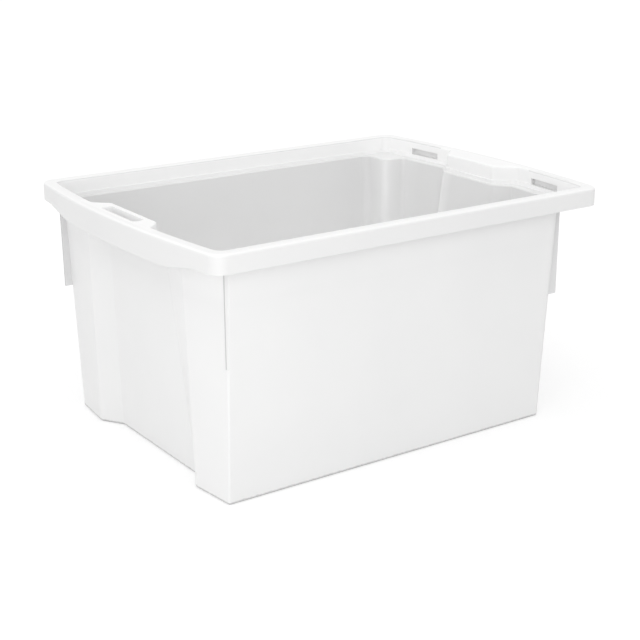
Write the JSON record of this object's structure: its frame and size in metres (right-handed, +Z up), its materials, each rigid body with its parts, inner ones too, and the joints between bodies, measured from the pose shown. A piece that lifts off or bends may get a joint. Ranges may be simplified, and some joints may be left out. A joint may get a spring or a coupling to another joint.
{
  "type": "storage box",
  "caption": "Open-top moulded plastic storage box with tapered walls, recessed ends, a flanged rim with grips, a stacking ledge inside the rim and nesting fins.",
  "frame": {"origin": "middle of the underside, on the surface that the box stands on", "axes": "+X along the length from the end with the wide corner columns to the end with the cut-back corners, +Y across the width, +Z up"},
  "size_m": [0.6, 0.444, 0.31],
  "materials": {
    "body_plastic": "satin",
    "rim_plastic": "satin",
    "fin_plastic": "satin"
  },
  "bodies": {
    "root": {"floor_panel": "body_plastic", "base_ring": "body_plastic", "left_recess_panel": "body_plastic", "right_recess_panel": "body_plastic", "front_wall": "body_plastic", "back_wall": "body_plastic", "left_front_column": "body_plastic", "left_back_column": "body_plastic", "right_front_corner": "body_plastic", "right_back_corner": "body_plastic", "right_front_column": "body_plastic", "right_back_column": "body_plastic", "left_ledge": "body_plastic", "right_ledge": "body_plastic", "front_ledge": "body_plastic", "back_ledge": "body_plastic", "left_shelf": "rim_plastic", "right_shelf": "rim_plastic", "left_slot_collar": "rim_plastic", "left_rim": "rim_plastic", "right_rim": "rim_plastic", "front_rim": "rim_plastic", "back_rim": "rim_plastic", "left_grip": "rim_plastic", "right_grip": "rim_plastic", "left_front_rim_corner": "rim_plastic", "left_back_rim_corner": "rim_plastic", "right_front_rim_corner": "rim_plastic", "right_back_rim_corner": "rim_plastic", "front_upstand": "rim_plastic", "back_upstand": "rim_plastic", "left_front_upstand": "rim_plastic", "left_back_upstand": "rim_plastic", "right_front_upstand": "rim_plastic", "right_back_upstand": "rim_plastic", "left_front_fin": "fin_plastic", "left_back_fin": "fin_plastic", "right_front_fin": "fin_plastic", "right_back_fin": "fin_plastic"}
  },
  "joints": []
}
